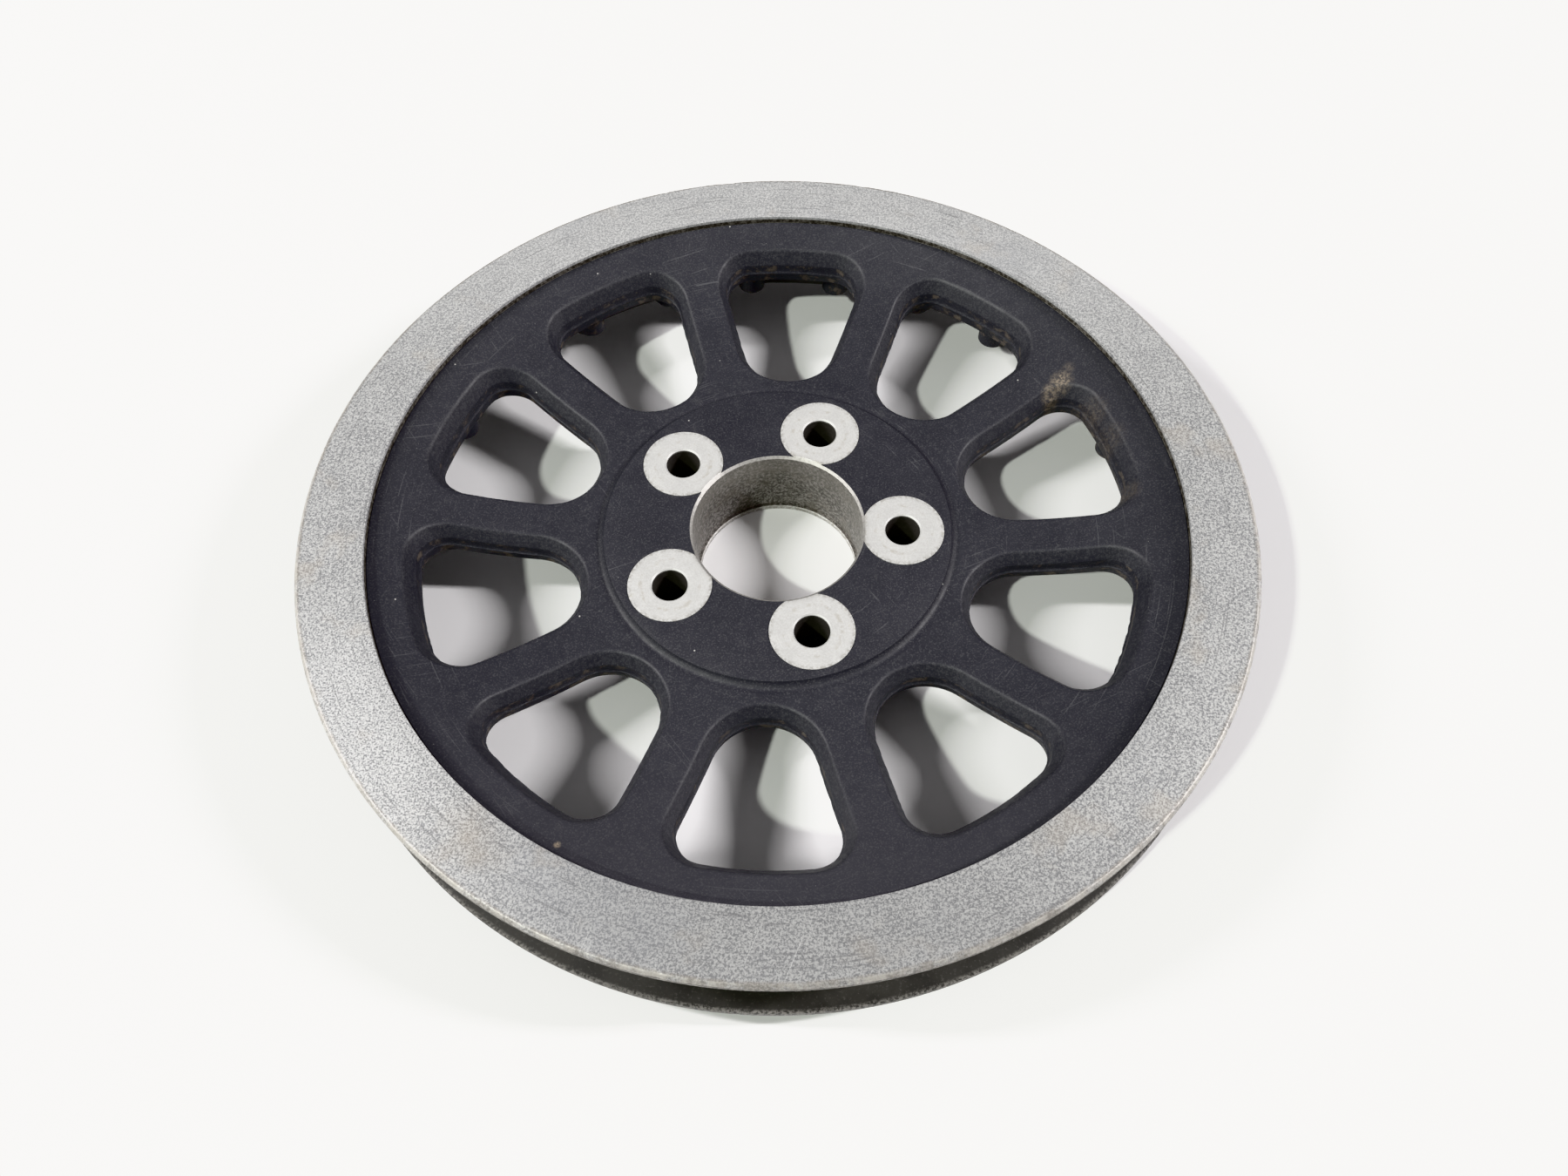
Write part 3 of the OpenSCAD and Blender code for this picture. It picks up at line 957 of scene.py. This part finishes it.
def seat_material():
    """Machined pads: pale matte metal, stained where the washers sat."""
    g = Graph("machined_seat")
    grain = g.noise(0.0007, 3, 0.65)
    smudge = g.noise(0.004, 4, 0.65, (2.0, 6.0, 0.0))
    r = g.radius((BOLT_RING_R * MM, 0.0))
    for k in range(1, BOLTS):
        r = g.math("MINIMUM", r, g.radius(polar(BOLT_RING_R * MM, BOLT_STEP * k)))
    color = g.mix(g.span(grain, 0.36, 0.66), (0.53, 0.525, 0.515), (0.59, 0.59, 0.58))
    turned_marks = g.math("SINE", g.times(r, TAU / 0.0007))
    color = g.mix(g.span(turned_marks, -1.0, 1.0, 0.0, 0.10), color, (0.40, 0.40, 0.39))
    washer = g.band(r, 0.0088, 0.0100, 0.0004)
    color = g.mix(g.times(washer, g.span(smudge, 0.50, 0.62), 0.5), color, (0.36, 0.335, 0.29))
    fringe = g.span(g.noise(0.0013, 4, 0.7, (0.0, 2.0, 6.0)), 0.44, 0.58)
    fringe = g.times(g.span(r, 0.0118, SEAT_PAD_R * MM), fringe)
    color = g.mix(g.times(fringe, 0.6), color, (0.24, 0.225, 0.20))
    color = g.mix(g.span(smudge, 0.60, 0.72, 0.0, 0.4), color, (0.42, 0.40, 0.35))
    inner = g.times(g.span(g.radius(), 0.0310, 0.0285), g.span(grain, 0.42, 0.58))
    color = g.mix(g.times(inner, 0.6), color, (0.27, 0.25, 0.22))
    normal = g.bump(turned_marks, 0.12, 0.00002)
    normal = g.bump(grain, 0.15, 0.00003, normal)
    return g.finish(color, g.span(smudge, 0.35, 0.65, 0.42, 0.55), normal, metallic=0.35)


def bore_material():
    """Grey-brown oxidised metal of the bore, paler near the outer face, with painted shade in
    the bolt holes.
    """
    g = Graph("bore_metal")
    grain = g.noise(0.0010, 4, 0.7)
    patch = g.noise(0.006, 4, 0.65, (3.0, 3.0, 0.0))
    color = g.mix(g.span(grain, 0.40, 0.64), (0.11, 0.105, 0.099), (0.32, 0.305, 0.288))
    color = g.mix(g.span(patch, 0.45, 0.65, 0.0, 0.45), color, (0.18, 0.165, 0.145))
    color = g.mix(g.span(g.z, 0.012, 0.028, 0.0, 0.30), color, (0.46, 0.44, 0.41))
    # Painted shade: the threads of the bolt holes are darkened.
    hole = g.span(g.radius(), 0.0300, 0.0305)
    color = g.mix(g.times(hole, 0.85), color, (0.085, 0.082, 0.078))
    face = HUB_TOP_Z * MM
    edge = g.times(g.span(g.z, face - 0.0010, face - 0.0007), g.span(grain, 0.35, 0.6, 0.4, 0.8))
    color = g.mix(edge, color, (0.46, 0.45, 0.43))
    return g.finish(color, 0.5, g.bump(grain, 0.35, 0.00008), metallic=0.6)


def rim_material():
    """Toothed face: the coat where the belt doesn't reach, rubbed metal on
    the tips."""
    g = Graph("belt_worn_rim")
    grain = g.noise(0.0012, 4, 0.7)
    color = g.mix(g.span(grain, 0.42, 0.64), (0.035, 0.033, 0.031), (0.085, 0.080, 0.075))
    tips = g.times(g.span(g.radius(), (TIP_R - 1.2) * MM, TIP_R * MM), g.span(grain, 0.40, 0.56))
    color = g.mix(g.times(tips, 0.8), color, (0.26, 0.25, 0.24))
    normal = g.bump(grain, 0.3, 0.00006)
    return g.finish(color, g.span(grain, 0.3, 0.7, 0.4, 0.6), normal, metallic=0.35)


def rear_coat_material():
    """Dull brown-black coat, rubbed through along the outer edge."""
    g = Graph("rear_flange_coat")
    grain = g.noise(0.0009, 4, 0.7)
    patch = g.noise(0.012, 4, 0.6, (0.0, 4.0, 2.0))
    color = g.mix(g.span(patch, 0.35, 0.7), (0.020, 0.0188, 0.0172), (0.036, 0.034, 0.031))
    color = g.mix(g.span(grain, 0.54, 0.7, 0.0, 0.6), color, (0.085, 0.080, 0.074))
    rim = FLANGE_R * MM
    edge = g.times(g.span(g.radius(), rim - 0.0015, rim - 0.0003), g.span(grain, 0.40, 0.58))
    color = g.mix(g.times(edge, 0.7), color, (0.22, 0.21, 0.195))
    dust = g.specks(0.007, 0.0006, 0.4)
    color = g.mix(g.times(dust, 0.6), color, (0.34, 0.32, 0.29))
    return g.finish(color, g.span(patch, 0.3, 0.7, 0.52, 0.66), g.bump(grain, 0.35, 0.00006))


def metal_material(name, dark, light, rough, metallic):
    """Plain metal with a fine grain and a few stains."""
    g = Graph(name)
    grain = g.noise(0.0007, 3, 0.65)
    stain = g.noise(0.008, 4, 0.65, (4.0, 0.0, 4.0))
    color = g.mix(g.span(grain, 0.38, 0.66), dark, light)
    color = g.mix(g.span(stain, 0.54, 0.70, 0.0, 0.5), color, tuple(0.5 * v for v in dark))
    rough = g.span(stain, 0.3, 0.7, rough, rough + 0.15)
    return g.finish(color, rough, g.bump(grain, 0.3, 0.00005), metallic=metallic)


# ------------------------------------------------------------------- pieces

casting = build_casting([
    coat_material(),
    seat_material(),
    bore_material(),
    rim_material(),
    metal_material("hub_face_metal", (0.30, 0.30, 0.29), (0.46, 0.46, 0.45), 0.42, 0.6),
])
outer_ring = build_outer_ring([ring_material()])
rear_ring = build_rear_ring([rear_coat_material()])
for piece, node, slot in (
    (casting, "pulley_body", "black_coat"),
    (outer_ring, "outer_flange", "bare_aluminium"),
    (rear_ring, "rear_flange", "dark_coat"),
):
    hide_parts(node)
    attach(piece, "root")
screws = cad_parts["flange_screws"]
screws.data.materials.clear()
screws.data.materials.append(
    metal_material("screw_metal", (0.16, 0.16, 0.16), (0.34, 0.34, 0.33), 0.38, 0.8)
)

# ------------------------------------------------------------ floor and light

floor_mesh = bpy.data.meshes.new("floor")
reach = 4
corners = [(-reach, -reach, 0), (reach, -reach, 0), (reach, reach, 0), (-reach, reach, 0)]
floor_mesh.from_pydata(corners, [], [(0, 1, 2, 3)])
floor = bpy.data.objects.new("floor", floor_mesh)
bpy.context.scene.collection.objects.link(floor)
table = Graph("table")
paper = table.mix(table.noise(0.3), (0.83, 0.83, 0.83), (0.86, 0.86, 0.86))
floor_mesh.materials.append(table.finish(paper, 0.8, specular=0.2))

SOFT_WHITE = (1.0, 0.975, 0.985)


def lamp(name, data, towards, distance=1.0):
    """A lamp that shines on the object from one direction."""
    way = Vector(towards).normalized()
    obj = bpy.data.objects.new(name, data)
    obj.location = way * distance
    obj.rotation_mode = "QUATERNION"
    obj.rotation_quaternion = (-way).to_track_quat("-Z", "Y")
    bpy.context.scene.collection.objects.link(obj)


# A small lamp on the near left, as a sun so that its shadows stay parallel
key = bpy.data.lights.new("key", "SUN")
key.energy = 1.85
key.angle = math.radians(2.3)
key.color = (0.95, 1.0, 0.90)
lamp("key", key, (-21.5, -20.0, 29.1))

# A long soft box on either side
for name, towards, distance, size, length, power in (
    ("right_box", (38.5, 1.5, 29.1), 4.0, 0.22, 0.85, 168.0),
    ("left_box", (-33.0, -2.0, 29.1), 2.0, 0.11, 0.60, 34.0),
):
    box = bpy.data.lights.new(name, "AREA")
    box.shape = "RECTANGLE"
    box.size, box.size_y = size, length
    box.energy = power
    box.color = SOFT_WHITE
    lamp(name, box, towards, distance)

# A pale room all round
world = bpy.data.worlds.new("studio")
world.use_nodes = True
room = world.node_tree.nodes["Background"]
room.inputs["Color"].default_value = (*SOFT_WHITE, 1.0)
room.inputs["Strength"].default_value = 0.25
bpy.context.scene.world = world
bpy.context.scene.view_settings.view_transform = "Khronos PBR Neutral"

# ---------------------------------------------------------------------- camera

camera_data = bpy.data.cameras.new("camera")
camera = bpy.data.objects.new("camera", camera_data)
bpy.context.scene.collection.objects.link(camera)
bpy.context.scene.camera = camera
camera_data.lens = 27.0
camera_data.sensor_width = 36.0
camera_data.clip_start = 0.01
azimuth, elevation, distance = math.radians(3.85), math.radians(54.52), 0.37664
pan, tilt, roll = math.radians(-0.25), math.radians(-4.31), math.radians(1.26)
place = Vector((
    math.sin(azimuth) * math.cos(elevation),
    -math.cos(azimuth) * math.cos(elevation),
    math.sin(elevation),
)) * distance
look = (-place).normalized()
right = Vector((math.cos(azimuth), math.sin(azimuth), 0.0))
up = right.cross(look)
turn = Matrix.Rotation(pan, 3, up)
look, right = turn @ look, turn @ right
turn = Matrix.Rotation(tilt, 3, right)
look, up = turn @ look, turn @ up
turn = Matrix.Rotation(roll, 3, look)
right, up = turn @ right, turn @ up
camera.matrix_world = Matrix.Translation(place + Vector((0, 0, TOP_Z * MM))) @ Matrix(
    ((right.x, up.x, -look.x), (right.y, up.y, -look.y), (right.z, up.z, -look.z))
).to_4x4()
